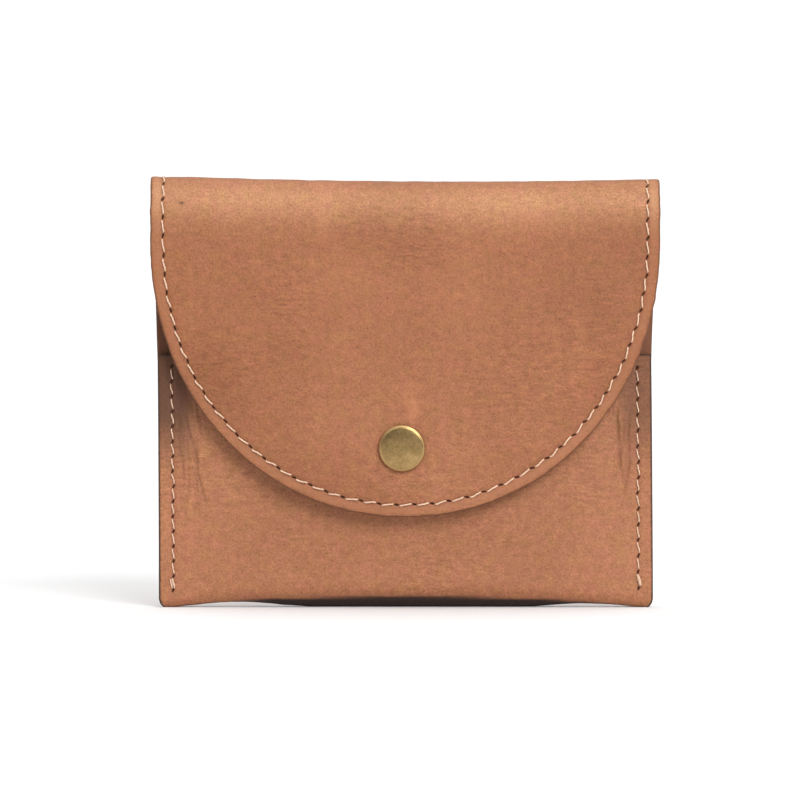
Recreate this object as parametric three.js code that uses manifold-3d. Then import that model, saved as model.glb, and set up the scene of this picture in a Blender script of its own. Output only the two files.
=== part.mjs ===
// Leather coin purse with a rounded flap and a brass snap fastener.
//
// One leather blank is folded twice: up at the bottom to make the front panel, and over at the top to make the flap.
// A thin lining covers the inside of the back and the underside of the flap.
// A lockstitch seam joins front, lining and back along both sides, and runs on up the back, over the top fold and round the flap.
// The snap is a press stud: cap and socket on the flap with a wire spring in the socket, stud and eyelet on the front panel.
// The blank and the lining are each in three lengths, parted at the two lines where the top fold bends, so that the flap can turn.
//
// Millimetres. +Z up, the front faces -Y, and +X is to the right of someone looking at the front. The purse stands on its bottom corners.

import * as THREE from "three";
import { mergeVertices } from "three/addons/utils/BufferGeometryUtils.js";
import Module from "manifold-3d";

// ---- driving dimensions -------------------------------------------------
const T = 1.5; // outer leather
const TL = 0.8; // lining
const GAP = 0.3; // space between neighbouring pieces
const PLY = TL / 2 + GAP + T / 2; // from the lining's middle to the leather's middle

const FLAP_HALF = 57; // half the flap's width
const FOLD_HALF = 57; // half the top fold's width
const BODY_HALF = 55.6; // half the pocket's width
const TOP_Z = 96; // top of the fold
const FOLD_R = 4.75; // top fold, to the middle of the leather
const FOLD_Z = TOP_Z - FOLD_R - T / 2;
const FOLD_Y = -2.1; // centre of the top fold, before the lean
const BEND_DEG = [45, 135]; // the two bend lines, from the back
const BEND_CLEAR = 0.3; // each side of a bend line
const LEAN = 0.046; // the purse leans back by this much per millimetre of height

const MOUTH_Z = 56.7; // top edge of the front panel
const BASE_Z = 9; // where the bottom fold meets the panels
const ARCH = 2.2; // the bottom fold's middle stands this far off the ground at the front
const REAR_LOW = 0.3; // and the back of the fold this far
const CORNER_SINK = 0.75; // how far the corner's round would reach below the flat that it stands on
const CORNER_R = 1.1;

const FLAP_ARC_Z = 82.2; // the flap's sides are straight down to here
const FLAP_DROP = 61.6; // and half an ellipse of this height below
const FLAP_SEAM_IN = 2.8; // seam from the flap's edge
const FLAP_PITCH = 3.92;
const SIDE_SEAM_IN = 3.45;
const SIDE_PITCH = 3.45;
const SEAM_LOW_Z = 5;
const SEAM_TOP_Z = 88.2;

const SNAP_X = -0.7;
const SNAP_Z = 36;
const SNAP_STACK = 3.4; // between the front panel's face and the flap lining's face

const HOLE_L = 1.1; // stitch hole, along the seam
const HOLE_W = 0.9; // and across it
const THREAD = 0.5;
const THREAD_LIFT = 0.3 + THREAD / 2; // from a face to the middle of a strand on it

const ORIGIN_Y = -1.6755; // the bounding box's middle, before it is moved to the origin

// ---- the shape of the leather -------------------------------------------
const bump = (s, p) => (Math.abs(s) >= 1 ? 0 : Math.pow(1 - s * s, p));
const smooth = (a, b, t) => {
  const k = Math.min(1, Math.max(0, (t - a) / (b - a)));
  return k * k * (3 - 2 * k);
};
const lean = (z) => LEAN * z;
const bodyHalf = (z) => BODY_HALF + (FOLD_HALF - BODY_HALF) * smooth(60, 90, z);

// the middle of each panel's leather
const BULGE_HALF = 54;
const frontBulge = (z) => 1.6 + 2.6 * smooth(0, 34, z) - 0.4 * smooth(44, MOUTH_Z, z);
const backBulge = (z) => (1.6 + 2.6 * smooth(0, 38, z)) * (1 - smooth(52, 89, z));
const frontY = (x, z) => -PLY - frontBulge(z) * bump(x / BULGE_HALF, 1.5) + lean(z);
const backY = (x, z) =>
  PLY + backBulge(z) * bump(x / BULGE_HALF, 1.5) + (FOLD_Y + FOLD_R - PLY) * smooth(56, FOLD_Z, z) + lean(z);

const FLAP_TOP_Y = FOLD_Y - FOLD_R;
const FLAP_MID_Y = -PLY - frontBulge(SNAP_Z) - T / 2 - SNAP_STACK - TL - GAP - T / 2;
const FLAP_SIDE_Y = -5.6;
const flapY = (x, z) => {
  const side = FLAP_TOP_Y + (FLAP_SIDE_Y - FLAP_TOP_Y) * smooth(FOLD_Z, 50, z);
  const mid = FLAP_TOP_Y + (FLAP_MID_Y - FLAP_TOP_Y) * smooth(FOLD_Z, 46, z);
  return side + (mid - side) * bump(x / 66, 1.05) + lean(z);
};

// ---- solids -------------------------------------------------------------
const wasm = await Module();
wasm.setup();

function solid(geometry) {
  const loose = geometry.index ? geometry.toNonIndexed() : geometry;
  const bare = new THREE.BufferGeometry().setAttribute("position", loose.getAttribute("position"));
  const merged = mergeVertices(bare, 1e-4);
  const index = [];
  const from = merged.index.array;
  for (let i = 0; i < from.length; i += 3)
    if (from[i] !== from[i + 1] && from[i + 1] !== from[i + 2] && from[i] !== from[i + 2])
      index.push(from[i], from[i + 1], from[i + 2]);
  const make = (t) =>
    new wasm.Manifold(
      new wasm.Mesh({ numProp: 3, vertProperties: merged.attributes.position.array, triVerts: new Uint32Array(t) }),
    );
  const made = make(index);
  if (made.volume() >= 0) return made;
  for (let i = 0; i < index.length; i += 3) [index[i + 1], index[i + 2]] = [index[i + 2], index[i + 1]];
  return make(index);
}

function geometryOf(m) {
  const mesh = m.getMesh();
  const n = mesh.numProp;
  const at = new Float32Array(mesh.numVert * 3);
  for (let i = 0; i < mesh.numVert; i++) at.set(mesh.vertProperties.subarray(i * n, i * n + 3), i * 3);
  const g = new THREE.BufferGeometry();
  g.setAttribute("position", new THREE.BufferAttribute(at, 3));
  g.setIndex(new THREE.BufferAttribute(new Uint32Array(mesh.triVerts), 1));
  g.computeVertexNormals();
  return g;
}

// a closed slab between two grids of points, outer[j][i] and inner[j][i]
function slab(outer, inner) {
  const rows = outer.length;
  const cols = outer[0].length;
  const at = [];
  const index = [];
  for (const grid of [outer, inner]) for (const row of grid) for (const p of row) at.push(...p);
  const o = (j, i) => j * cols + i;
  const n = (j, i) => (rows + j) * cols + i;
  const quad = (a, b, c, d) => index.push(a, b, c, a, c, d);
  for (let j = 0; j + 1 < rows; j++)
    for (let i = 0; i + 1 < cols; i++) {
      quad(o(j, i), o(j, i + 1), o(j + 1, i + 1), o(j + 1, i));
      quad(n(j, i), n(j + 1, i), n(j + 1, i + 1), n(j, i + 1));
    }
  for (let i = 0; i + 1 < cols; i++) {
    quad(o(0, i + 1), o(0, i), n(0, i), n(0, i + 1));
    quad(o(rows - 1, i), o(rows - 1, i + 1), n(rows - 1, i + 1), n(rows - 1, i));
  }
  for (let j = 0; j + 1 < rows; j++) {
    quad(o(j, 0), o(j + 1, 0), n(j + 1, 0), n(j, 0));
    quad(o(j + 1, cols - 1), o(j, cols - 1), n(j, cols - 1), n(j + 1, cols - 1));
  }
  const g = new THREE.BufferGeometry();
  g.setAttribute("position", new THREE.Float32BufferAttribute(at, 3));
  g.setIndex(index);
  return solid(g);
}

// an outline in x and z, as a prism along y
function prismY(points, y0, y1) {
  const g = new THREE.ExtrudeGeometry(new THREE.Shape(points), { depth: y1 - y0, bevelEnabled: false });
  g.rotateX(Math.PI / 2);
  g.translate(0, y1, 0);
  return solid(g);
}

// a box from a to b, s wide and s high, with up as near as can be to its height
function bar(a, b, s, extend, up) {
  const along = new THREE.Vector3().subVectors(b, a);
  const length = along.length() + 2 * extend;
  along.normalize();
  const across = new THREE.Vector3().crossVectors(up, along).normalize();
  const high = new THREE.Vector3().crossVectors(along, across);
  const g = new THREE.BoxGeometry(length, s, s);
  g.applyMatrix4(new THREE.Matrix4().makeBasis(along, across, high));
  const c = new THREE.Vector3().addVectors(a, b).multiplyScalar(0.5);
  g.translate(c.x, c.y, c.z);
  return solid(g);
}

function boxAlongY(w, h, dir, x, z, y0, y1) {
  const d = new THREE.Vector3(dir.x, 0, dir.y).normalize();
  const across = new THREE.Vector3().crossVectors(d, UP_Y);
  const g = new THREE.BoxGeometry(w, y1 - y0, h);
  g.applyMatrix4(new THREE.Matrix4().makeBasis(d, UP_Y, across));
  g.translate(x, (y0 + y1) / 2, z);
  return solid(g);
}

function cylinderY(r, y0, y1) {
  const g = new THREE.CylinderGeometry(r, r, y1 - y0, 24);
  g.translate(SNAP_X, (y0 + y1) / 2, SNAP_Z);
  return solid(g);
}

const UP_Y = new THREE.Vector3(0, 1, 0);
const all = (parts) => parts.reduce((a, b) => a.add(b));
const steps = (a, b, n) => Array.from({ length: n + 1 }, (_, i) => a + ((b - a) * i) / n);

// ---- leather and lining -------------------------------------------------
const ACROSS = [0, 0.22, 0.44, 0.63, 0.79, 0.91, 1];
const columns = (half) => [...ACROSS.slice(1).reverse().map((s) => -s * half), ...ACROSS.map((s) => s * half)];
const foldPoint = (x, r, deg) => [
  x,
  FOLD_Y + lean(FOLD_Z) + r * Math.cos((deg * Math.PI) / 180),
  FOLD_Z + r * Math.sin((deg * Math.PI) / 180),
];
const clearDeg = (Math.asin(BEND_CLEAR / FOLD_R) * 180) / Math.PI;

// grids at a given distance outside the middle of the leather
const arcGrid = (degs, half, off) => degs.map((d) => columns(half).map((x) => foldPoint(x, FOLD_R + off, d)));
const backGrid = (zs, off) => zs.map((z) => columns(bodyHalf(z)).map((x) => [x, backY(x, z) + off, z]));
const frontGrid = (zs, off) => zs.map((z) => columns(bodyHalf(z)).map((x) => [x, frontY(x, z) - off, z]));
const flapGrid = (zs, off) => zs.map((z) => columns(60).map((x) => [x, flapY(x, z) - off, z]));

function bottomGrid(off) {
  const N = 8;
  return steps(0, Math.PI, N).map((t) =>
    columns(BODY_HALF).map((x) => {
      const yf = frontY(x, BASE_Z) - lean(BASE_Z);
      const yb = backY(x, BASE_Z) - lean(BASE_Z);
      const a = (yb - yf) / 2;
      const low = -CORNER_SINK + (ARCH + CORNER_SINK) * (1 - Math.pow(Math.abs(x) / BODY_HALF, 3));
      const r = a + off;
      // the back of the fold hangs down to REAR_LOW, both faces by as much
      const mid = low + a + T / 2 - a * Math.sin(t);
      const share = Math.min(1, Math.max(0, (BASE_Z - mid) / (BASE_Z - low - T / 2)));
      const hang = Math.max(0, low - REAR_LOW) * share * smooth(0.12, 0.8, (1 - Math.cos(t)) / 2);
      const z = low + a + T / 2 - r * Math.sin(t) - hang;
      return [x, (yb + yf) / 2 - r * Math.cos(t) + lean(z), z];
    }),
  );
}

const rearArc = [14, 28, BEND_DEG[0] - clearDeg];
const frontRows = steps(MOUTH_Z, BASE_Z, 6);
const backRows = [...steps(BASE_Z, 52, 5), ...steps(60, FOLD_Z, 4)];
const bodyGrid = (off) => [
  ...frontGrid(frontRows, off),
  ...bottomGrid(off),
  ...backGrid(backRows, off),
  ...arcGrid(rearArc, FOLD_HALF, off),
];
let bodyLeather = slab(bodyGrid(T / 2), bodyGrid(-T / 2));

// flat feet at the bottom corners, and the corners' rounding
const foot = [];
for (const [cx, a0] of [
  [-BODY_HALF + CORNER_R, 180],
  [BODY_HALF - CORNER_R, 270],
])
  for (let k = 0; k <= 3; k++) {
    const t = ((a0 + k * 30) * Math.PI) / 180;
    foot.push(new THREE.Vector2(cx + CORNER_R * Math.cos(t), CORNER_R + CORNER_R * Math.sin(t)));
  }
foot.push(new THREE.Vector2(62, 14), new THREE.Vector2(62, 110), new THREE.Vector2(-62, 110), new THREE.Vector2(-62, 14));
bodyLeather = bodyLeather.intersect(prismY(foot, -40, 40));

// the lining's outer face is a gap inside the leather
const LIN_OUT = -T / 2 - GAP;
const LIN_IN = LIN_OUT - TL;
const liningLow = (x) => 6.4 - 3.2 * Math.pow(Math.abs(x) / BODY_HALF, 3);
const backLiningGrid = (off) => {
  const rows = steps(0, 1, 10).map((u) =>
    columns(1).map((s) => {
      const x0 = s * (BODY_HALF - 0.2);
      const low = liningLow(x0);
      const z = low + (FOLD_Z - low) * u;
      const x = s * (bodyHalf(z) - 0.2);
      return [x, backY(x, z) + off, z];
    }),
  );
  return [...rows, ...arcGrid(rearArc, FOLD_HALF - 0.2, off)];
};
let backLining = slab(backLiningGrid(LIN_OUT), backLiningGrid(LIN_IN));

const stripDegs = steps(BEND_DEG[0] + clearDeg, BEND_DEG[1] - clearDeg, 6);
const ends = (grid) => grid.map((row) => [row[0], row[row.length - 1]]);
const strip = (half, a, b) => slab(ends(arcGrid(stripDegs, half, a)), ends(arcGrid(stripDegs, half, b)));
let foldLeather = strip(FOLD_HALF, T / 2, -T / 2);
let foldLining = strip(FOLD_HALF - 0.2, LIN_OUT, LIN_IN);

const foreArc = [BEND_DEG[1] + clearDeg, 152, 166];
const flapRows = steps(FOLD_Z, 18, 9);
const flapSlab = (a, b) =>
  slab(
    [...arcGrid(foreArc, 60, a), ...flapGrid(flapRows, a)],
    [...arcGrid(foreArc, 60, b), ...flapGrid(flapRows, b)],
  );
const flapCurve = (inset, n) =>
  steps(Math.PI, 2 * Math.PI, n).map(
    (t) =>
      new THREE.Vector2(
        (FLAP_HALF - inset) * Math.cos(t),
        FLAP_ARC_Z + (FLAP_DROP - inset) * Math.sin(t),
      ),
  );
const flapOutline = (inset) => [
  ...flapCurve(inset, 32),
  new THREE.Vector2(FOLD_HALF - inset, 100),
  new THREE.Vector2(-FOLD_HALF + inset, 100),
];
let flapLeather = flapSlab(T / 2, -T / 2).intersect(prismY(flapOutline(0), -40, 40));
let flapLining = flapSlab(LIN_OUT, LIN_IN).intersect(prismY(flapOutline(0.2), -40, 40));

// ---- seams --------------------------------------------------------------
// points at an even pitch along a line, ends included
function alongLine(points, pitch) {
  const length = [0];
  for (let i = 1; i < points.length; i++) length.push(length[i - 1] + points[i].distanceTo(points[i - 1]));
  const total = length[length.length - 1];
  const n = Math.round(total / pitch);
  return steps(0, total, n).map((s) => {
    let i = 1;
    while (i < points.length - 1 && length[i] < s) i++;
    const t = (s - length[i - 1]) / (length[i] - length[i - 1]);
    return new THREE.Vector2().lerpVectors(points[i - 1], points[i], Math.min(1, t));
  });
}
const direction = (points, i) =>
  new THREE.Vector2().subVectors(points[Math.min(i + 1, points.length - 1)], points[Math.max(i - 1, 0)]);
const holes = (points) => all(points.map((p, i) => boxAlongY(HOLE_L, HOLE_W, direction(points, i), p.x, p.y, -40, 40)));
// A thread seen along its seam is a comb: a strand that runs at y(p) over every hole, with a tooth down each hole to tooth(p).
// Without tooth it is the plain strand.
function thread(points, y, tooth) {
  const at = [];
  const index = [];
  const h = THREAD / 2;
  const put = (p, d, c, s, w, level) => {
    at.push(p.x + d.x * s + c.x * w, level, p.y + d.y * s + c.y * w);
    return at.length / 3 - 1;
  };
  const quad = (a, b, c, d) => index.push(a, b, c, a, c, d);
  const toward = tooth ? Math.sign(tooth(points[0]) - y(points[0])) : 1;
  let last = null;
  let first = null;
  points.forEach((p, i) => {
    const d = direction(points, i).normalize();
    const c = new THREE.Vector2(-d.y, d.x);
    const far = y(p) - toward * h;
    const near = y(p) + toward * h;
    const deep = tooth ? tooth(p) : near;
    // at each end of the tooth, both sides, far and near; then the tooth's own foot
    const [A, B] = [-h, h].map((s) => [-h, h].map((w) => ({ far: put(p, d, c, s, w, far), near: put(p, d, c, s, w, near) })));
    if (tooth) for (const [e, s] of [[A, -h], [B, h]]) e.forEach((v, k) => (v.deep = put(p, d, c, s, k ? h : -h, deep)));
    const run = (E, F) => {
      quad(E[0].far, F[0].far, F[1].far, E[1].far);
      quad(E[0].far, E[0].near, F[0].near, F[0].far);
      quad(E[1].far, F[1].far, F[1].near, E[1].near);
    };
    run(A, B);
    if (tooth) {
      quad(A[0].near, A[0].deep, B[0].deep, B[0].near);
      quad(A[1].near, B[1].near, B[1].deep, A[1].deep);
      quad(A[0].deep, A[1].deep, B[1].deep, B[0].deep);
      quad(A[0].near, A[1].near, A[1].deep, A[0].deep);
      quad(B[0].near, B[0].deep, B[1].deep, B[1].near);
    } else quad(A[0].near, A[1].near, B[1].near, B[0].near);
    if (last) {
      run(last, A);
      quad(last[0].near, last[1].near, A[1].near, A[0].near);
    } else first = A;
    last = B;
  });
  quad(first[0].far, first[1].far, first[1].near, first[0].near);
  quad(last[0].far, last[0].near, last[1].near, last[1].far);
  const g = new THREE.BufferGeometry();
  g.setAttribute("position", new THREE.Float32BufferAttribute(at, 3));
  g.setIndex(index);
  return solid(g);
}

const flapSeam = alongLine(
  [
    new THREE.Vector2(-(FLAP_HALF - FLAP_SEAM_IN), SEAM_TOP_Z),
    ...flapCurve(FLAP_SEAM_IN, 90),
    new THREE.Vector2(FLAP_HALF - FLAP_SEAM_IN, SEAM_TOP_Z),
  ],
  FLAP_PITCH,
);
const flapHoles = holes(flapSeam);
flapLeather = flapLeather.subtract(flapHoles);
flapLining = flapLining.subtract(flapHoles);
const flapOut = (p) => flapY(p.x, p.y) - T / 2;
const flapIn = (p) => flapY(p.x, p.y) - LIN_IN;
const flapFaceThread = thread(flapSeam, (p) => flapOut(p) - THREAD_LIFT, flapIn);
const flapBackThread = thread(flapSeam, (p) => flapIn(p) + THREAD_LIFT);

// up each side: through front, lining and back below the mouth, through lining and back above it
function sideSeam(sign) {
  const at = (z) => new THREE.Vector2(sign * (bodyHalf(z) - SIDE_SEAM_IN), z);
  const lower = alongLine([at(SEAM_LOW_Z), at(MOUTH_Z - 1.8)], SIDE_PITCH);
  const upper = alongLine([MOUTH_Z + 2.2, 66, 72, 78, 84, SEAM_TOP_Z].map(at), FLAP_PITCH);
  const rearOut = (p) => backY(p.x, p.y) + T / 2;
  const inFace = (p) => backY(p.x, p.y) + LIN_IN;
  const foreOut = (p) => frontY(p.x, p.y) - T / 2;
  const rear = thread(
    [...lower, ...upper],
    (p) => rearOut(p) + THREAD_LIFT,
    (p) => (p.y < MOUTH_Z ? foreOut(p) : inFace(p)),
  );
  return {
    cut: holes([...lower, ...upper]),
    rear,
    fore: thread(lower, (p) => foreOut(p) - THREAD_LIFT),
    inner: thread(upper, (p) => inFace(p) - THREAD_LIFT),
  };
}
const leftSeam = sideSeam(-1);
const rightSeam = sideSeam(1);
for (const s of [leftSeam, rightSeam]) {
  bodyLeather = bodyLeather.subtract(s.cut);
  backLining = backLining.subtract(s.cut);
}

// one stitch at each end of the top fold: a closed link of thread round leather and lining
function foldStitch(sign) {
  const x = sign * (FOLD_HALF - FLAP_SEAM_IN);
  const reach = ((FLAP_PITCH / 2 / FOLD_R) * 180) / Math.PI;
  const at = (r, deg) => new THREE.Vector3(...foldPoint(x, r, deg));
  const X = new THREE.Vector3(1, 0, 0);
  const outer = FOLD_R + T / 2 + THREAD_LIFT;
  const inner = FOLD_R + LIN_IN - THREAD_LIFT;
  const over = steps(90 - reach, 90 + reach, 4);
  const parts = over.slice(1).map((d, i) => bar(at(outer, over[i]), at(outer, d), THREAD, THREAD / 2, X));
  parts.push(bar(at(inner, 90 - reach), at(inner, 90 + reach), THREAD, THREAD / 2, X));
  for (const d of [90 - reach, 90 + reach]) parts.push(bar(at(inner, d), at(outer, d), THREAD, 0, X));
  const cut = all([90 - reach, 90 + reach].map((d) => bar(at(inner - 0.5, d), at(outer + 1, d), HOLE_W, 0, X)));
  return { link: all(parts), cut };
}
const leftStitch = foldStitch(-1);
const rightStitch = foldStitch(1);
for (const s of [leftStitch, rightStitch]) {
  foldLeather = foldLeather.subtract(s.cut);
  foldLining = foldLining.subtract(s.cut);
}

// ---- snap ---------------------------------------------------------------
const frontFace = frontY(SNAP_X, SNAP_Z) - T / 2;
const frontBack = frontFace + T;
const flapFace = flapY(SNAP_X, SNAP_Z) - T / 2;
const flapBack = flapFace + T + GAP + TL;
const STACK = flapBack - flapFace; // leather and lining together
const lathe = (profile, sides) =>
  geometryOf(solid(new THREE.LatheGeometry(profile.map(([r, y]) => new THREE.Vector2(r, y)), sides)));

// cap: shallow dome with a rolled rim, and a post flared inside the socket. y is 0 on the flap's face.
const cap = lathe(
  [
    [0, -1.4], [2.2, -1.36], [3.7, -1.24], [4.6, -1.02], [5.05, -0.74], [5.2, -0.48], [5.0, -0.2], [1.35, -0.2],
    [1.35, STACK + 0.62], [1.75, STACK + 0.66], [1.75, STACK + 0.85], [0.95, STACK + 0.85], [0.95, 0.15], [0, 0.15],
  ],
  26,
);
// socket: flange and cup with a turned-in lip. y is 0 on the lining's face.
const socket = lathe(
  [
    [1.6, 0.2], [4.4, 0.2], [4.4, 0.5], [4.05, 0.62], [3.95, 2.35], [3.7, 2.6], [2.55, 2.6], [2.55, 2.2],
    [3.3, 2.1], [3.3, 0.5], [1.6, 0.5], [1.6, 0.2],
  ],
  20,
);
// spring: a wire ring split at one side, which grips the stud's head
const ring = new THREE.TorusGeometry(2.95, 0.17, 6, 24);
ring.rotateX(Math.PI / 2);
const split = new THREE.BoxGeometry(2, 2, 0.9);
split.translate(2.95, 0, 0);
const spring = geometryOf(solid(ring).subtract(solid(split)));
// stud: flange, neck and round head, hollow behind. y is 0 on the front panel's face.
const stud = lathe(
  [
    [0, -2.2], [1.75, -2.1], [2.0, -1.8], [2.0, -1.45], [1.8, -1.15], [1.85, -0.6], [3.7, -0.55], [4.1, -0.42],
    [4.1, -0.2], [1.5, -0.2], [1.5, -1.75], [0, -1.85],
  ],
  20,
);
// eyelet: flange inside the pocket, barrel flared in the stud's hollow. y is 0 on the front panel's inner face.
const eyelet = lathe(
  [
    [0.8, 0.6], [3.7, 0.6], [3.95, 0.4], [3.95, 0.2], [1.2, 0.2], [1.2, -T - 1.0], [1.35, -T - 1.1], [1.35, -T - 1.3],
    [0.8, -T - 1.3], [0.8, 0.6],
  ],
  16,
);

// a hole for each post, and leather pressed flat under each flange
flapLeather = flapLeather.subtract(cylinderY(1.65, flapFace - 5, flapBack + 5)).subtract(cylinderY(5.5, flapFace - 5, flapFace));
flapLining = flapLining.subtract(cylinderY(1.65, flapFace - 5, flapBack + 5)).subtract(cylinderY(4.7, flapBack, flapBack + 5));
const PANEL_ONLY = 4; // reach of a cut, short of the back
bodyLeather = bodyLeather
  .subtract(cylinderY(1.5, frontFace - 5, frontBack + PANEL_ONLY))
  .subtract(cylinderY(4.4, frontFace - 5, frontFace))
  .subtract(cylinderY(4.2, frontBack, frontBack + PANEL_ONLY));

// ---- assembly -----------------------------------------------------------
const leather = (name) => new THREE.MeshStandardMaterial({ name, color: 0xb57854, roughness: 0.6, metalness: 0 });
const lining = (name) => new THREE.MeshStandardMaterial({ name, color: 0x8f5d41, roughness: 0.8, metalness: 0 });
const threadStuff = (name) => new THREE.MeshStandardMaterial({ name, color: 0xf2d2b2, roughness: 0.7, metalness: 0 });
const brass = (name) => new THREE.MeshStandardMaterial({ name, color: 0x91744a, roughness: 0.4, metalness: 1 });
const steel = (name) => new THREE.MeshStandardMaterial({ name, color: 0xb8b8b4, roughness: 0.35, metalness: 1 });

const purse = new THREE.Group();
purse.name = "coin_purse";
purse.position.y = -ORIGIN_Y;
const pocket = new THREE.Group();
const topFold = new THREE.Group();
const flap = new THREE.Group();
purse.add(pocket, topFold, flap);

function put(group, name, shape, finish, at) {
  const mesh = new THREE.Mesh(shape.isBufferGeometry ? shape : geometryOf(shape), finish(name));
  mesh.name = name;
  if (at) mesh.position.set(...at);
  group.add(mesh);
}

put(pocket, "body_leather", bodyLeather, leather);
put(pocket, "back_lining", backLining, lining);
put(pocket, "left_seam_back_thread", leftSeam.rear, threadStuff);
put(pocket, "left_seam_front_thread", leftSeam.fore, threadStuff);
put(pocket, "left_seam_inner_thread", leftSeam.inner, threadStuff);
put(pocket, "right_seam_back_thread", rightSeam.rear, threadStuff);
put(pocket, "right_seam_front_thread", rightSeam.fore, threadStuff);
put(pocket, "right_seam_inner_thread", rightSeam.inner, threadStuff);
put(pocket, "snap_stud", stud, brass, [SNAP_X, frontFace, SNAP_Z]);
put(pocket, "snap_eyelet", eyelet, brass, [SNAP_X, frontBack, SNAP_Z]);

put(topFold, "top_fold_leather", foldLeather, leather);
put(topFold, "top_fold_lining", foldLining, lining);
put(topFold, "left_fold_stitch", leftStitch.link, threadStuff);
put(topFold, "right_fold_stitch", rightStitch.link, threadStuff);

put(flap, "flap_leather", flapLeather, leather);
put(flap, "flap_lining", flapLining, lining);
put(flap, "flap_face_thread", flapFaceThread, threadStuff);
put(flap, "flap_back_thread", flapBackThread, threadStuff);
put(flap, "snap_cap", cap, brass, [SNAP_X, flapFace, SNAP_Z]);
put(flap, "snap_socket", socket, brass, [SNAP_X, flapBack, SNAP_Z]);
put(flap, "snap_spring", spring, steel, [SNAP_X, flapBack + 1.65, SNAP_Z]);

export default purse;
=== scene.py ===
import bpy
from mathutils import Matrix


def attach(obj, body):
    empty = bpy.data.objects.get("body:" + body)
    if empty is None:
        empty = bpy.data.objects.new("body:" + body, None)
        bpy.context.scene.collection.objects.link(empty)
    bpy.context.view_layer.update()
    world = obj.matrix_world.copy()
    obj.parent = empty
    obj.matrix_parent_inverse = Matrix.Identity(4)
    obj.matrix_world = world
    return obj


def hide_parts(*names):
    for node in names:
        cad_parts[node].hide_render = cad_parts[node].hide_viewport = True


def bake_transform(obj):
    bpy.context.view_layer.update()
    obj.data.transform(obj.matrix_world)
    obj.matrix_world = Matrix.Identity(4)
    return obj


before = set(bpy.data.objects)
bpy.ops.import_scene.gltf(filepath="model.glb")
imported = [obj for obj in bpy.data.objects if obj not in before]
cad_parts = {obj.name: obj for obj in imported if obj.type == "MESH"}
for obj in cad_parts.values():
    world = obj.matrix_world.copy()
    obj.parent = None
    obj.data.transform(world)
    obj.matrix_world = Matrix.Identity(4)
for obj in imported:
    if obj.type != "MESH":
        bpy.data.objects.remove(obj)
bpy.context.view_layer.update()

import math

import bpy
import numpy as np
from mathutils import Vector, kdtree
from mathutils.geometry import delaunay_2d_cdt

# Lengths are in millimetres here, and MM turns them into metres. The shape's numbers are those of the CAD source.
MM = 0.001
T, TL, GAP = 1.5, 0.8, 0.3
PLY = TL / 2 + GAP + T / 2
FLAP_HALF, FOLD_HALF, BODY_HALF = 57.0, 57.0, 55.37
SEAM_X = 52.1
TOP_Z, FOLD_R, FOLD_Y = 96.0, 4.75, -2.1
FOLD_Z = TOP_Z - FOLD_R - T / 2
LEAN = 0.046
MOUTH_Z, BASE_Z, ARCH, SINK, REAR_LOW = 56.7, 9.0, 2.2, 0.75, -0.6
FLAP_ARC_Z, FLAP_DROP = 82.2, 61.6
SNAP_X, SNAP_Z, STACK = -0.7, 36.0, 3.4
SHIFT_Y = 1.6755

OUT = T / 2  # the grain side, from the middle of the leather
IN = 0.8  # the flesh side
LIN_A, LIN_B = 0.84, 1.85  # the lining's two faces, inside the middle of the leather


def bump(s, p):
    return np.where(np.abs(s) >= 1, 0.0, np.power(np.clip(1 - s * s, 0, 1), p))


def smooth(a, b, t):
    k = np.clip((t - a) / (b - a), 0, 1)
    return k * k * (3 - 2 * k)


def lean(z):
    return LEAN * z


def body_half(z):
    return BODY_HALF + (FOLD_HALF - BODY_HALF) * smooth(46, 100, z)


def front_bulge(z):
    return 1.6 + 2.6 * smooth(0, 34, z) - 0.4 * smooth(44, MOUTH_Z, z)


def back_bulge(z):
    return (1.6 + 2.6 * smooth(0, 38, z)) * (1 - smooth(52, 89, z))


def front_y(x, z):
    return -PLY - front_bulge(z) * bump(x / 54.0, 1.5) + lean(z)


def back_y(x, z):
    return PLY + back_bulge(z) * bump(x / 54.0, 1.5) + (FOLD_Y + FOLD_R - PLY) * smooth(56, FOLD_Z, z) + lean(z)


FLAP_TOP_Y = FOLD_Y - FOLD_R
FLAP_MID_Y = -PLY - float(front_bulge(SNAP_Z)) - T / 2 - STACK - TL - GAP - T / 2


def flap_y(x, z):
    side = FLAP_TOP_Y + (-5.6 - FLAP_TOP_Y) * smooth(FOLD_Z, 50, z)
    mid = FLAP_TOP_Y + (FLAP_MID_Y - FLAP_TOP_Y) * smooth(FOLD_Z, 46, z)
    y = side + (mid - side) * bump(x / 66.0, 1.05)
    # past the snap, the edge settles towards the pocket
    q = np.abs(x / FLAP_HALF) ** 2.05 + (np.maximum(0, FLAP_ARC_Z - z) / FLAP_DROP) ** 2.05
    zf = np.minimum(z, MOUTH_Z)
    room = np.maximum(0, front_y(x, zf) - lean(zf) - 3.0 - y)
    return y + 0.62 * room * smooth(0.56, 1.1, q) * (1 - smooth(48, 64, z)) + lean(z)


# ---- the leather blank as one strip -------------------------------------
# x runs across, and v along the strip: from the mouth down the front, round the bottom, up the back, over the top and down the flap.
V_BASE = MOUTH_Z - BASE_Z
V_BACK = V_BASE + 17.5
V_FOLD = V_BACK + FOLD_Z - BASE_Z
V_TOP = V_FOLD + FOLD_R * math.pi / 2
V_FLAP = V_FOLD + FOLD_R * math.pi
V_END = V_FLAP + FOLD_Z - 17.0
DV, DX, X0 = 0.25, 0.5, -58.0
TOP_DROP = 0.13


# the bottom fold's section: fuller than a half round, by arc length
_t = np.linspace(0, math.pi, 1441)
SECTION_Y, SECTION_Z = -np.sign(np.cos(_t)) * np.abs(np.cos(_t)) ** 0.52, np.sin(_t) ** 0.52
SECTION_S = np.r_[0, np.cumsum(np.hypot(np.diff(SECTION_Y), np.diff(SECTION_Z)))]


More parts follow.
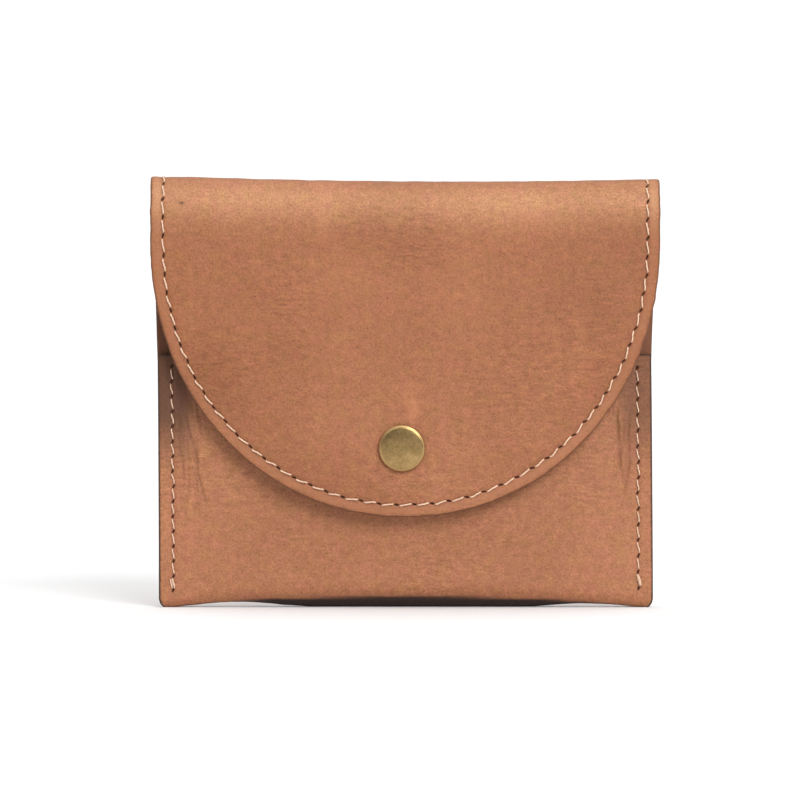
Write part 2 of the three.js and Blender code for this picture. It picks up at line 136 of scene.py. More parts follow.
def path(x, v):
    y, z = np.zeros_like(x), np.zeros_like(x)
    m = v < V_BASE
    z[m] = MOUTH_Z - v[m]
    y[m] = front_y(x[m], z[m])
    m = (v >= V_BASE) & (v < V_BACK)
    xx = x[m]
    yf, yb = front_y(xx, BASE_Z) - lean(BASE_Z), back_y(xx, BASE_Z) - lean(BASE_Z)
    a = (yb - yf) / 2
    low = -SINK + (ARCH + SINK) * (1 - np.minimum(1, np.abs(xx) / BODY_HALF) ** 3)
    cz = low + a + T / 2
    s1 = BASE_Z - cz
    whole = SECTION_S[-1]
    d = (v[m] - V_BASE) / (V_BACK - V_BASE) * (2 * s1 + whole * a)
    u = np.clip((d - s1) / a, 0, whole)
    sy = np.interp(u, SECTION_S, SECTION_Y)
    zz = cz - a * np.interp(u, SECTION_S, SECTION_Z) + np.maximum(0, s1 - d) + np.maximum(0, d - s1 - whole * a)
    share = np.clip((BASE_Z - zz) / (BASE_Z - low - T / 2), 0, 1)
    middle = smooth(-46, -18, xx) * (1 - smooth(24, 51, xx))
    zz = zz - np.maximum(0, low - REAR_LOW) * share * smooth(0.12, 0.8, (1 + sy) / 2) * middle
    z[m] = zz
    y[m] = (yf + yb) / 2 + a * sy + lean(zz)
    m = (v >= V_BACK) & (v < V_FOLD)
    z[m] = BASE_Z + v[m] - V_BACK
    y[m] = back_y(x[m], z[m])
    m = (v >= V_FOLD) & (v < V_FLAP)
    t = (v[m] - V_FOLD) / FOLD_R
    y[m] = FOLD_Y + lean(FOLD_Z) + FOLD_R * np.cos(t)
    z[m] = FOLD_Z + FOLD_R * np.sin(t)
    m = v >= V_FLAP
    z[m] = FOLD_Z - (v[m] - V_FLAP)
    y[m] = flap_y(x[m], z[m])
    return y, z


def lips(x):
    """v at the bottom fold's front and rear corners."""
    yf, yb = front_y(x, BASE_Z) - lean(BASE_Z), back_y(x, BASE_Z) - lean(BASE_Z)
    a = (yb - yf) / 2
    low = -SINK + (ARCH + SINK) * (1 - np.minimum(1, np.abs(x) / BODY_HALF) ** 3)
    s1 = BASE_Z - (low + a + T / 2)
    scale = (V_BACK - V_BASE) / (2 * s1 + SECTION_S[-1] * a)
    return V_BASE + (s1 + SECTION_S[360] * a) * scale, V_BASE + (s1 + SECTION_S[1080] * a) * scale


def waves(seed, x, v, length, n=9):
    """Smooth seeded unevenness, about -1 to 1, with features of that length."""
    r = np.random.default_rng(seed)
    total = np.zeros_like(np.asarray(x, float))
    for _ in range(n):
        k = 2 * math.pi / (length * r.uniform(0.75, 1.7))
        a = r.uniform(0, math.pi)
        total += np.cos(k * (math.cos(a) * x + math.sin(a) * v) + r.uniform(0, 6.283))
    return total / math.sqrt(n) / 1.4


grid_v = np.arange(-3, V_END + 3, DV)
grid_x = np.arange(X0, -X0 + DX / 2, DX)
gx, gv = np.meshgrid(grid_x, np.clip(grid_v, 0, V_END))
GY, GZ = path(gx, gv)
# straight on past both ends
GZ += np.where(grid_v < 0, -grid_v, 0)[:, None] - np.where(grid_v > V_END, grid_v - V_END, 0)[:, None]


def eased(G, sigma):
    n = int(3.2 * sigma / DV)
    kernel = np.exp(-0.5 * (np.arange(-n, n + 1) * DV / sigma) ** 2)
    kernel /= kernel.sum()
    rows = np.vstack([2 * G[0] - G[n:0:-1], G, 2 * G[-1] - G[-2 : -n - 2 : -1]])
    return sum(k * rows[i : i + len(G)] for i, k in enumerate(kernel))


# no corner anywhere, and the top bend starts gently
at_bend = 1 - smooth(15, 26, np.abs(gv - V_TOP))
crown = float(GZ.max())
for G in (GY, GZ):
    G[:] = eased(G, 0.9)
    G[:] = G + (eased(G, 2.9) - G) * at_bend
GZ += (crown - float(GZ.max()) - TOP_DROP) * (1 - smooth(9, 26, np.abs(gv - V_TOP)))
# the top edge sags a little between its corners
near_top = smooth(V_FOLD - 32, V_FOLD, gv) * (1 - smooth(V_FLAP, V_FLAP + 32, gv))
GZ += near_top * (-0.42 + 0.84 * (gx / 54.0) ** 2 - 0.38 * (gx / 54.0) - 0.2 * smooth(-45, -56, gx))
# the leather isn't flat: slow unevenness, which fades at the sewn sides
loose = bump(gx / 57.0, 0.7)
GY += 0.22 * loose * waves(3, gx, gv, 34.0) * smooth(0, 12, gv) * (1 - near_top * 0.5)


def derive(G, axis, step):
    return np.gradient(G, step, axis=axis)


tvy, tvz, txy, txz = derive(GY, 0, DV), derive(GZ, 0, DV), derive(GY, 1, DX), derive(GZ, 1, DX)
nx, ny, nz = tvy * txz - tvz * txy, tvz, -tvy
nl = np.sqrt(nx * nx + ny * ny + nz * nz)
FIELDS = np.stack([GY, GZ, nx / nl, ny / nl, nz / nl], -1)


def strip(x, v):
    """(points, normals out of the grain side) of the middle of the leather, before the shift to the row frame."""
    x, v = np.asarray(x, float), np.asarray(v, float)
    fx = np.clip((x - X0) / DX, 0, len(grid_x) - 1.001)
    fv = np.clip((v - grid_v[0]) / DV, 0, len(grid_v) - 1.001)
    i, j = fx.astype(int), fv.astype(int)
    a, b = (fx - i)[:, None], (fv - j)[:, None]
    f = (FIELDS[j, i] * (1 - a) + FIELDS[j, i + 1] * a) * (1 - b) + (FIELDS[j + 1, i] * (1 - a) + FIELDS[j + 1, i + 1] * a) * b
    sway = (0.18 * (1 - smooth(0, 46, f[:, 1])) - 0.17 * np.exp(-(((f[:, 1] - 60) / 13) ** 2))) * (v < V_FOLD)
    p = np.column_stack([x + sway, f[:, 0], f[:, 1]])
    n = f[:, 2:] / np.linalg.norm(f[:, 2:], axis=1, keepdims=True)
    return p, n


def z_of_v(v):
    v = np.asarray(v, float)
    return np.where(v < V_BASE, MOUTH_Z - v, np.where(v < V_BACK, np.nan, np.where(v < V_FOLD, BASE_Z + v - V_BACK, FOLD_Z - np.abs(v - V_FLAP) * (v > V_FLAP))))


def v_at(x, z, low, high):
    """v between low and high where the strip is at height z."""
    vs = np.linspace(low, high, 400)
    p, _ = strip(np.full(400, x), vs)
    order = np.argsort(p[:, 2])
    return float(np.interp(z, p[order, 2], vs[order]))


# ---- outlines -----------------------------------------------------------
def half_at(v):
    """Half the strip's width, from the mouth to the middle of the top."""
    v = np.asarray(v, float)
    p, _ = strip(np.full(len(v), 54.0), v)
    z = p[:, 2]
    r = 2.2
    trim = np.where(z < r, r - np.sqrt(np.clip(r * r - (r - np.clip(z, 0, r)) ** 2, 0, None)), 0)
    return np.where(v > V_BACK, body_half(np.where(v > V_BACK, z, 0)), BODY_HALF) - trim


def flap_edge(inset, n=500):
    """The flap's edge from the top's middle at the left, round, and up to it at the right."""
    t = np.linspace(math.pi, 2 * math.pi, n)
    c, s = np.cos(t), np.sin(t)
    e = 2 / 2.05
    x = (FLAP_HALF - inset) * np.sign(c) * np.abs(c) ** e
    z = FLAP_ARC_Z - (FLAP_DROP - inset) * np.abs(s) ** e
    v = V_FLAP + FOLD_Z - z
    side_v = np.linspace(V_TOP, V_FLAP + FOLD_Z - FLAP_ARC_Z, 50)[:-1]
    side_x = FOLD_HALF - inset + (FLAP_HALF - FOLD_HALF) * smooth(V_TOP + 2, V_FLAP + 3, side_v)
    left = np.column_stack([-side_x, side_v])
    return np.vstack([left, np.column_stack([x, v]), np.column_stack([side_x, side_v])[::-1]])


def resample(line, step):
    d = np.r_[0, np.cumsum(np.linalg.norm(np.diff(line, axis=0), axis=1))]
    n = max(2, int(round(d[-1] / step)) + 1)
    s = np.linspace(0, d[-1], n)
    return np.column_stack([np.interp(s, d, line[:, 0]), np.interp(s, d, line[:, 1])])


# ---- seams --------------------------------------------------------------
def wobble(points, seed, amount=0.09):
    r = np.random.default_rng(seed)
    return points + r.normal(0, amount, points.shape) * np.array([1, 0.6])


flap_line = flap_edge(2.8)
flap_length = np.linalg.norm(np.diff(flap_line, axis=0), axis=1).sum()
flap_holes = resample(flap_line, flap_length / 53)
flap_holes[1:-1] = wobble(flap_holes, 11)[1:-1]


def side_holes(sign):
    """Front holes, back holes below the mouth, and back holes above it up to the middle of the top."""
    zs = np.r_[3.9, np.linspace(6.9, 53.9, 15)] if sign < 0 else np.r_[4.4, np.linspace(8.0, 53.6, 14)]
    x = sign * SEAM_X
    fore = np.array([[x, v_at(x, z, 0, V_BASE + 8)] for z in zs])
    rear = np.array([[x, v_at(x, z, V_BASE + 9, V_FOLD)] for z in zs])
    v_up = np.linspace(V_TOP, v_at(x, MOUTH_Z + 1.8, V_BACK, V_FOLD), 13)
    inset = 2.8 + 0.65 * smooth(V_FOLD, V_FOLD - 26, v_up)
    up = np.column_stack([sign * (half_at(v_up) - inset), v_up])[::-1]
    j = wobble(np.zeros_like(fore), 20 + sign, 0.07)
    return fore + j, rear + j * np.array([1, -1]), up


LEFT, RIGHT = side_holes(-1), side_holes(1)

SLIT_A, SLIT_B = 0.70, 0.28
slit_table = []  # x, v, angle of each slit


def slits_of(holes, turn=0.42):
    d = np.gradient(holes, axis=0)
    return np.column_stack([holes, np.arctan2(d[:, 1], d[:, 0]) + turn])


def flap_turn(holes):
    """The awl's slant varies round the flap."""
    z = FOLD_Z - (holes[:, 1] - V_FLAP)
    r = np.random.default_rng(77)
    return 0.22 + 0.28 * holes[:, 0] / 57 + 0.35 * smooth(62, 84, z) * (holes[:, 0] < 0) + r.normal(0, 0.09, len(holes))


def side_line(parts):
    return np.vstack(parts)


FLAP_SLITS = slits_of(flap_holes, flap_turn(flap_holes))
BODY_SLITS = np.vstack([slits_of(a) for s in (LEFT, RIGHT) for a in (s[0], s[1], s[2])])
FLAP_SEAMS = [flap_holes]
BODY_SEAMS = [LEFT[0], LEFT[1], LEFT[2], RIGHT[0], RIGHT[1], RIGHT[2]]


# ---- creases and other relief -------------------------------------------
r_crease = np.random.default_rng(5)
CREASES = []
for sign in (-1, 1):
    for k in range(13):
        top = r_crease.uniform(1, 26)
        length = r_crease.uniform(7, 19)
        CREASES.append((sign * r_crease.uniform(46.0, 51.2), top, top + length, r_crease.uniform(0.06, 0.19), r_crease.uniform(-0.03, 0.16) * (-sign), r_crease.uniform(0, 6)))


def crease_depth(x, v):
    total = np.zeros_like(x)
    for cx, a, b, depth, slope, phase in CREASES:
        inside = smooth(a, a + 4, v) * (1 - smooth(b - 4, b, v))
        line = cx + slope * (v - a) + 0.35 * np.sin(v * 0.42 + phase)
        total = np.maximum(total, inside * depth * np.exp(-(((x - line) / 0.3) ** 2)))
    return total


def relief(x, v):
    """Height of the grain side above its even surface, from creases, pressing at the snap and wear."""
    h = 0.040 * waves(8, x, v, 6.0, 14) + 0.014 * waves(9, x, v, 2.2, 16)
    for cx, a, b, depth, slope, phase in CREASES:
        inside = smooth(a, a + 4, v) * (1 - smooth(b - 4, b, v))
        line = cx + slope * (v - a) + 0.35 * np.sin(v * 0.42 + phase)
        d = x - line
        h = h - inside * depth * (np.exp(-((d / 0.26) ** 2)) - 0.45 * np.exp(-(((np.abs(d) - 0.62) / 0.36) ** 2)))
    r = np.hypot(x - SNAP_X, v - (V_FLAP + FOLD_Z - SNAP_Z))
    h = h - 0.32 * smooth(9.5, 4.6, r)
    return h


def pocket_press(x, v):
    return np.zeros_like(x)


# ---- sheets of leather --------------------------------------------------
def nearest(points, samples):
    tree = kdtree.KDTree(len(samples))
    for k, s in enumerate(samples):
        tree.insert((s[0], s[1], 0), k)
    tree.balance()
    return np.array([tree.find((p[0], p[1], 0))[2] for p in points]) if len(points) else np.zeros(0)


def inside(points, poly):
    x, y = points[:, 0], points[:, 1]
    hit = np.zeros(len(points), bool)
    for (x1, y1), (x2, y2) in zip(poly, np.roll(poly, -1, axis=0)):
        if y1 == y2:
            continue
        c = (y1 > y) != (y2 > y)
        hit ^= c & (x < (x2 - x1) * (y - y1) / (y2 - y1) + x1)
    return hit


def slit_coords(points, slits):
    """For each point, its distance in slit radii from the nearest slit."""
    best = np.full(len(points), 99.0)
    for x, v, a in slits:
        near = np.abs(points[:, 0] - x) + np.abs(points[:, 1] - v) < 3
        if near.any():
            d = points[near] - (x, v)
            u = (d[:, 0] * math.cos(a) + d[:, 1] * math.sin(a)) / SLIT_A
            w = (-d[:, 0] * math.sin(a) + d[:, 1] * math.cos(a)) / SLIT_B
            best[near] = np.minimum(best[near], np.hypot(u, w))
    return best


def sheet_points(outline, creased, seams, slits, cell, fine_rows):
    """The flat pattern's points: the outline, rows inside its edges, seams, slits and an even field."""
    n = len(outline)
    nxt = np.roll(outline, -1, axis=0) - np.roll(outline, 1, axis=0)
    normal = np.column_stack([-nxt[:, 1], nxt[:, 0]])
    normal /= np.linalg.norm(normal, axis=1, keepdims=True)
    dense = resample(np.vstack([outline, outline[:1]]), 0.15)
    kept = [outline]
    for k, d in enumerate(fine_rows):
        row = outline + normal * d
        ok = inside(row, outline)
        row = row[ok]
        row = row[nearest(row, dense) > d * 0.93]
        kept.append(row)
    edge_zone = fine_rows[-1] if fine_rows else 0.2
    for seam in seams:
        line = resample(seam, 0.5)
        t = np.gradient(line, axis=0)
        t /= np.linalg.norm(t, axis=1, keepdims=True)
        side = np.column_stack([-t[:, 1], t[:, 0]])
        for off in (-1.15, -0.75, -0.42, -0.16, 0.16, 0.42, 0.75, 1.15):
            row = line + side * off
            row = row[inside(row, outline)]
            row = row[(nearest(row, dense) > edge_zone + 0.18) & (slit_coords(row, slits) > 1.75)]
            kept.append(row)
    for x, v, a in slits:
        ring = []
        for scale, m in ((0, 1), (0.5, 8), (0.82, 12), (1.0, 12), (1.3, 12)):
            th = np.arange(m) * 2 * math.pi / m + scale
            u, w = scale * SLIT_A * np.cos(th), scale * SLIT_B * np.sin(th)
            ring.append(np.column_stack([x + u * math.cos(a) - w * math.sin(a), v + u * math.sin(a) + w * math.cos(a)]))
        ring = np.vstack(ring)
        kept.append(ring[inside(ring, outline) & (nearest(ring, dense) > 0.05)])
    lo, hi = outline.min(0), outline.max(0)
    rows = np.arange(lo[1], hi[1], cell * 0.866)
    field = np.vstack([np.column_stack([np.arange(lo[0] + (k % 2) * cell / 2, hi[0], cell), np.full(len(np.arange(lo[0] + (k % 2) * cell / 2, hi[0], cell)), y)]) for k, y in enumerate(rows)])
    field = field[inside(field, outline)]
    field = field[nearest(field, dense) > edge_zone + cell * 0.35]
    if seams:
        lines = np.vstack([resample(s, 0.4) for s in seams])
        field = field[nearest(field, lines) > 1.15 + cell * 0.35]
    kept.append(field)
    if creased:
        rows = np.arange(0.9, 48, 0.42)
        extra = np.vstack([np.column_stack([s * np.arange(43.6 + (k % 2) * 0.15, BODY_HALF - 4.75, 0.3), np.full(len(np.arange(43.6 + (k % 2) * 0.15, BODY_HALF - 4.75, 0.3)), y)]) for s in (-1, 1) for k, y in enumerate(rows)])
        kept.append(extra)
    return np.vstack(kept)


def make_sheet(name, outline, join_v, seams, slits, a_off, b_off, a_side, b_side, cell=0.9, edge_r=0.6):
    """A closed body of leather over an outline of the pattern. a_off and b_off are its two faces from the middle of the strip, outwards.
    join_v is the v of an edge that meets another piece, and isn't rounded. a_side and b_side are (relief, slits) for each face."""
    rows = (0.06, 0.17, 0.31, 0.47, 0.68)
    pts = sheet_points(outline, name == "pocket_leather", seams, slits, cell, rows)
    n = len(outline)
    out = delaunay_2d_cdt([Vector(p) for p in pts], [(i, (i + 1) % n) for i in range(n)], [list(range(n))], 1, 1e-5)
    flat = np.array([tuple(p) for p in out[0]])
    tri = np.array(out[2])
    x, v = flat[:, 0], flat[:, 1]
    # distance from a real edge
    real = resample(np.vstack([outline, outline[:1]]), 0.1)
    if join_v is not None:
        real = real[np.abs(real[:, 1] - join_v) > 0.02]
    d = nearest(flat, real)
    round_off = np.where(d < edge_r, edge_r - np.sqrt(np.clip(edge_r**2 - (edge_r - np.minimum(d, edge_r)) ** 2, 0, None)), 0)
    rho = slit_coords(flat, slits)
    cut = 1 - smooth(0.5, 1.0, rho)
    seam_d = nearest(flat, np.vstack([resample(s, 0.3) for s in seams])) if seams else np.full(len(flat), 99.0)
    groove = np.exp(-((seam_d / 0.55) ** 2))
    p, nrm = strip(x, v)
    slow = relief(x, v)
    tight = min(1.0, (a_off - b_off) / 1.55)
    A = a_off + a_side[0] * slow - round_off * tight - a_side[1] * (0.5 * cut + 0.12 * groove)
    B = b_off - b_side[0] * slow + round_off * tight + b_side[1] * (0.55 * cut + 0.1 * groove)
    B = np.minimum(B, A - 0.12)
    pa, pb = p + nrm * A[:, None], p + nrm * B[:, None]
    count = len(flat)
    co = np.vstack([pa, pb])
    co[:, 2] = np.maximum(co[:, 2], 0.0)
    faces = [tuple(t[::-1]) for t in tri] + [tuple(t + count) for t in tri]
    edges = {}
    for t in tri:
        for i in range(3):
            edges[(t[i], t[(i + 1) % 3])] = True
    for (i, j) in edges:
        if (j, i) not in edges:
            faces.append((i, j, j + count, i + count))
    co[:, 1] += SHIFT_Y
    me = bpy.data.meshes.new(name)
    me.from_pydata((co * MM).tolist(), [], [tuple(int(k) for k in f) for f in faces])
    me.update()

    def attr(key, values):
        at = me.attributes.new(key, "FLOAT", "POINT")
        at.data.foreach_set("value", np.asarray(values, np.float32))

    pat = me.attributes.new("pat", "FLOAT_VECTOR", "POINT")
    grain = np.r_[np.zeros(count), np.full(count, 300.0)]
    pat.data.foreach_set("vector", np.column_stack([np.r_[x, x], np.r_[v, v], grain]).astype(np.float32).ravel())
    burn = np.exp(-((d / (0.62 if name == "pocket_leather" else 0.5)) ** 2))
    attr("edge", np.r_[burn, burn])
    attr("slit", np.r_[cut * a_side[1], cut * b_side[1]])
    attr("seam", np.r_[groove * a_side[1], groove * b_side[1]])
    attr("flesh", np.r_[np.zeros(count), np.ones(count)])
    # painted shade: the grain darkened along the pocket's creases, where shade falls in them
    crease_shade_weight = crease_depth(x, v) / 0.26 if name == "pocket_leather" else np.zeros(count)
    attr("painted_crease_shade", np.r_[crease_shade_weight, np.zeros(count)])
    zz = FOLD_Z - (v - V_FLAP)
    rub = np.zeros(count)
    if name == "flap_leather_shell":
        for cx, cz, rx, rz, k in ((1.9, 44.4, 1.3, 3.4, 1.9), (1.0, 47.5, 2.6, 3.2, 0.8), (-18, 86.0, 1.6, 6.5, 0.7), (-12, 74, 9.0, 8.0, 0.55), (13, 72, 7.0, 9.0, 0.5),
                                  (39, 60, 1.4, 10.0, 0.5), (-36, 62, 6.0, 7.0, 0.35), (26, 86, 9.0, 4.0, 0.4)):
            rub = np.maximum(rub, k * np.exp(-(((x - cx) / rx) ** 2) - ((zz - cz) / rz) ** 2))
    attr("rub", np.r_[rub, np.zeros(count)])
    lip, heel = lips(x)
    # painted shade: the underside of the bottom fold, between its front and rear corners, coloured near-black where it
    # hangs just above the floor
    painted_underside_shade = smooth(lip + 0.7, lip + 1.25, v) * (1 - smooth(heel + 0.4, heel + 2.2, v)) * (name == "pocket_leather")
    attr("painted_underside_shade", np.r_[painted_underside_shade, painted_underside_shade])
    # painted light: the grain side lighter in bands on both sides of the top fold, where it faces up towards the
    # overhead light
    painted_top_light = np.exp(-(((np.abs(v - V_TOP) - 7.4) / 5.0) ** 2))
    attr("painted_top_light", np.r_[painted_top_light, np.zeros(count)])
    # partly a real hue difference (the flap more orange), mostly painted light: the pocket brightened to offset the
    # shade under the flap and its downward lean, the flap darkened, and the flap's lower part lifted halfway to the
    # pocket's value
    hue_and_panel_light = 1 - smooth(V_BACK + 25, V_TOP - 4, v) if name.startswith("pocket") else 0.5 * smooth(60, 34, FOLD_Z - (v - V_FLAP))
    attr("hue_and_panel_light", np.r_[hue_and_panel_light, hue_and_panel_light])
    # painted shade: the leather darkened in the side slots by the mouth, where the flap's shadow falls; stronger at the
    # left, away from the light on the right
    height = p[:, 2]
    at_mouth = (1 - smooth(64, 78, height)) * name.startswith("pocket")
    low = smooth(28, 45, height)
    high = smooth(48, 57, height)
    painted_shade = (smooth(-45.0, -50.5, x) * np.where(v < V_BASE, 0.88 * low, 0.56 * high)
             + smooth(45.5, 50.5, x) * np.where(v < V_BASE, 0.54 * low, 0.38 * high)) * at_mouth
    attr("painted_shade", np.r_[painted_shade * (v < V_BASE), painted_shade])
    attr("side", np.r_[np.abs(x) > 50.5, np.abs(x) > 50.5] * 1.0 * (1 if name == "pocket_leather" else 0.0))
    band = smooth(0.5, 0.9, d) * (1 - smooth(1.7, 3.0, d)) * (v > V_TOP)
    attr("band", np.r_[band, np.zeros(count)])
    me.polygons.foreach_set("use_smooth", [True] * len(me.polygons))
    if join_v is not None:
        # the end wall at the join doesn't bend the shading of the two faces
        at_join = np.r_[np.abs(v - join_v) < 0.02, np.abs(v - join_v) < 0.02]
        ends = np.zeros(len(me.edges) * 2, np.int32)
        me.edges.foreach_get("vertices", ends)
        ends = ends.reshape(-1, 2)
        same = (ends[:, 0] < count) == (ends[:, 1] < count)
        hard = me.attributes.new("sharp_edge", "BOOLEAN", "EDGE")
        hard.data.foreach_set("value", (at_join[ends[:, 0]] & at_join[ends[:, 1]] & same).tolist())
    ob = bpy.data.objects.new(name, me)
    bpy.context.scene.collection.objects.link(ob)
    return ob


def body_outline(inset, v0, v1):
    vs = np.r_[np.arange(v0, v1, 0.7), v1]
    h = half_at(vs) - inset
    across = lambda v, h, s: np.column_stack([np.linspace(-s * h, s * h, int(2 * h / 0.9))[1:-1], np.full(int(2 * h / 0.9) - 2, v)])
    return np.vstack([
        np.column_stack([h, vs]),
        across(v1, h[-1], -1),
        np.column_stack([-h, vs])[::-1],
        across(v0, h[0], 1),
    ])


def flap_outline(inset):
    line = resample(flap_edge(inset), 0.7)
    ragged = 0.06 * waves(31, line[:, 0], line[:, 1], 5.0) + 0.05 * waves(32, line[:, 0], line[:, 1], 2.4)
    keep = smooth(V_TOP + 1, V_TOP + 8, line[:, 1])
    line[:, 0] += ragged * keep
    line[:, 1] += ragged * keep
    h = line[0, 0]
    n = int(2 * abs(h) / 0.9)
    top = np.column_stack([np.linspace(-h, h, n)[1:-1], np.full(n - 2, V_TOP)])
    return np.vstack([line, top])[::-1]


leather_body = make_sheet("pocket_leather", body_outline(0, 0.0, V_TOP), V_TOP, BODY_SEAMS, BODY_SLITS, OUT, -IN, (1, 1), (0.3, 0))
leather_flap = make_sheet("flap_leather_shell", flap_outline(0), V_TOP, FLAP_SEAMS, FLAP_SLITS, OUT, -IN, (1, 1), (0.3, 0))
UPPER = [LEFT[2], RIGHT[2]]
lining_v0 = v_at(0.0, 8.0, V_BACK - 4, V_FOLD)
lining_body = make_sheet("pocket_lining", body_outline(0.15, lining_v0, V_TOP), V_TOP, UPPER, np.vstack([slits_of(a) for a in UPPER]), -LIN_A, -LIN_B, (0, 0), (0.5, 1), cell=1.3, edge_r=0.3)
lining_flap = make_sheet("flap_lining_shell", flap_outline(0.15), V_TOP, FLAP_SEAMS, FLAP_SLITS, -LIN_A, -LIN_B, (0, 0), (0.5, 1), cell=1.3, edge_r=0.3)


# ---- thread -------------------------------------------------------------
def stitches(name, groups, seed, radius=0.19):
    """groups: (holes, offset of the face from the strip's middle, which way is out). Each stitch is a twisted three-ply strand, pulled into the leather at both ends."""
    r = np.random.default_rng(seed)
    verts, faces = [], []
    RINGS, SIDES = 20, 12
    for holes, face, way in groups:
        for k in range(len(holes) - 1):
            a, b = holes[k], holes[k + 1]
            length = np.linalg.norm(b - a)
            lat = np.array([-(b - a)[1], (b - a)[0]]) / length
            t = np.linspace(0, 1, RINGS)
            bow = r.normal(0.0, 0.05)
            # it leaves one end of a slit and reaches the other end of the next
            s_shape = 0.2 * np.cos(math.pi * t) * way + (bow + 0.05 * np.sin(2 * math.pi * t * r.uniform(0.8, 1.3) + r.uniform(0, 6))) * np.sin(math.pi * t)
            run = a + (b - a) * (0.145 + 0.71 * t)[:, None] + lat * s_shape[:, None]
            h = -0.5 + 0.58 * smooth(0, 0.15, t) * smooth(1, 0.85, t) + 0.05 * np.sin(math.pi * t)
            p, n = strip(run[:, 0], run[:, 1])
            c = p + n * (face + way * h)[:, None]
            tan = np.gradient(c, axis=0)
            tan /= np.linalg.norm(tan, axis=1, keepdims=True)
            u = n - tan * np.sum(n * tan, axis=1, keepdims=True)
            u /= np.linalg.norm(u, axis=1, keepdims=True)
            w = np.cross(tan, u)
            arc = np.r_[0, np.cumsum(np.linalg.norm(np.diff(c, axis=0), axis=1))]
            base = len(verts)
            start = r.uniform(0, 6.28)
            th = np.arange(SIDES) * 2 * math.pi / SIDES
            for i in range(RINGS):
                turn = start + arc[i] * 2 * math.pi / 3.0
                rad = radius * (1 + 0.16 * np.cos(3 * (th - turn)))
                ring = c[i] + u[i] * (rad * np.cos(th))[:, None] + w[i] * (rad * np.sin(th))[:, None]
                verts.extend(ring)
            for i in range(RINGS - 1):
                for j in range(SIDES):
                    j2 = (j + 1) % SIDES
                    faces.append((base + i * SIDES + j, base + i * SIDES + j2, base + (i + 1) * SIDES + j2, base + (i + 1) * SIDES + j))
            faces.append(tuple(base + j for j in range(SIDES))[::-1])
            faces.append(tuple(base + (RINGS - 1) * SIDES + j for j in range(SIDES)))
    co = np.array(verts)
    co[:, 1] += SHIFT_Y
    me = bpy.data.meshes.new(name)
    me.from_pydata((co * MM).tolist(), [], faces)
    me.update()
    me.polygons.foreach_set("use_smooth", [True] * len(me.polygons))
    ob = bpy.data.objects.new(name, me)
    bpy.context.scene.collection.objects.link(ob)
    return ob


def backstitch(holes, across):
    """The last stitch sewn again, a little to one side."""
    return holes[:2][::-1] + np.array([across, 0.1])


thread_pocket = stitches("pocket_stitches", [
    (LEFT[0], OUT, 1), (RIGHT[0], OUT, 1), (backstitch(LEFT[0], -0.42), OUT + 0.03, 1), (backstitch(LEFT[0], 0.1), OUT + 0.16, 1),
    (backstitch(RIGHT[0], 0.3), OUT + 0.05, 1), (backstitch(RIGHT[0], 0.12), OUT + 0.2, 1),
    (np.vstack([LEFT[1], LEFT[2]]), OUT, 1), (np.vstack([RIGHT[1], RIGHT[2]]), OUT, 1),
    (LEFT[2], -LIN_B, -1), (RIGHT[2], -LIN_B, -1),
], 41, 0.14)
thread_flap = stitches("flap_stitches", [(flap_holes, OUT, 1), (flap_holes, -LIN_B, -1)], 42, 0.165)


# ---- snap ---------------------------------------------------------------
def round_profile(points, steps=6):
    """A profile whose corners are cut by small curves."""
    pts = [np.array(p, float) for p in points]
    out = [pts[0]]
    for a, b, c in zip(pts, pts[1:], pts[2:]):
        la, lc = np.linalg.norm(b - a), np.linalg.norm(c - b)
        k = min(0.3, 0.1 / max(la, 1e-6), 0.1 / max(lc, 1e-6))
        p, q = b + (a - b) * min(0.45, 0.09 / la), b + (c - b) * min(0.45, 0.09 / lc)
        for s in np.linspace(0, 1, steps):
            out.append((1 - s) ** 2 * p + 2 * s * (1 - s) * b + s * s * q)
    out.append(pts[-1])
    return out


def lathe(name, profile, y0, closed=False, sides=96):
    """Turned about the snap's axis. y in the profile is added to y0."""
    prof = list(profile)
    verts, faces, rings = [], [], []
    for r, y in prof:
        if r < 1e-6 and not closed:
            rings.append([len(verts)])
            verts.append((SNAP_X, y0 + y, SNAP_Z))
        else:
            rings.append(list(range(len(verts), len(verts) + sides)))
            for k in range(sides):
                t = 2 * math.pi * k / sides
                verts.append((SNAP_X + r * math.cos(t), y0 + y, SNAP_Z + r * math.sin(t)))
    pairs = list(zip(rings, rings[1:])) + ([(rings[-1], rings[0])] if closed else [])
    for a, b in pairs:
        for k in range(sides):
            k2 = (k + 1) % sides
            if len(a) == 1 and len(b) == 1:
                continue
            if len(a) == 1:
                faces.append((a[0], b[k2], b[k]))
            elif len(b) == 1:
                faces.append((a[k], a[k2], b[0]))
            else:
                faces.append((a[k], a[k2], b[k2], b[k]))
    co = np.array(verts)
    co[:, 1] += SHIFT_Y
    me = bpy.data.meshes.new(name)
    me.from_pydata((co * MM).tolist(), [], faces)
    me.update()
    import bmesh
    bm = bmesh.new()
    bm.from_mesh(me)
    bmesh.ops.recalc_face_normals(bm, faces=bm.faces)
    bm.to_mesh(me)
    bm.free()
    me.polygons.foreach_set("use_smooth", [True] * len(me.polygons))
    ob = bpy.data.objects.new(name, me)
    bpy.context.scene.collection.objects.link(ob)
    return ob


front_face = float(front_y(np.array(SNAP_X), SNAP_Z)) - T / 2
front_back = front_face + T
flap_face = float(flap_y(np.array(SNAP_X), SNAP_Z)) - T / 2
flap_back = flap_face + T + GAP + TL
THICK = flap_back - flap_face

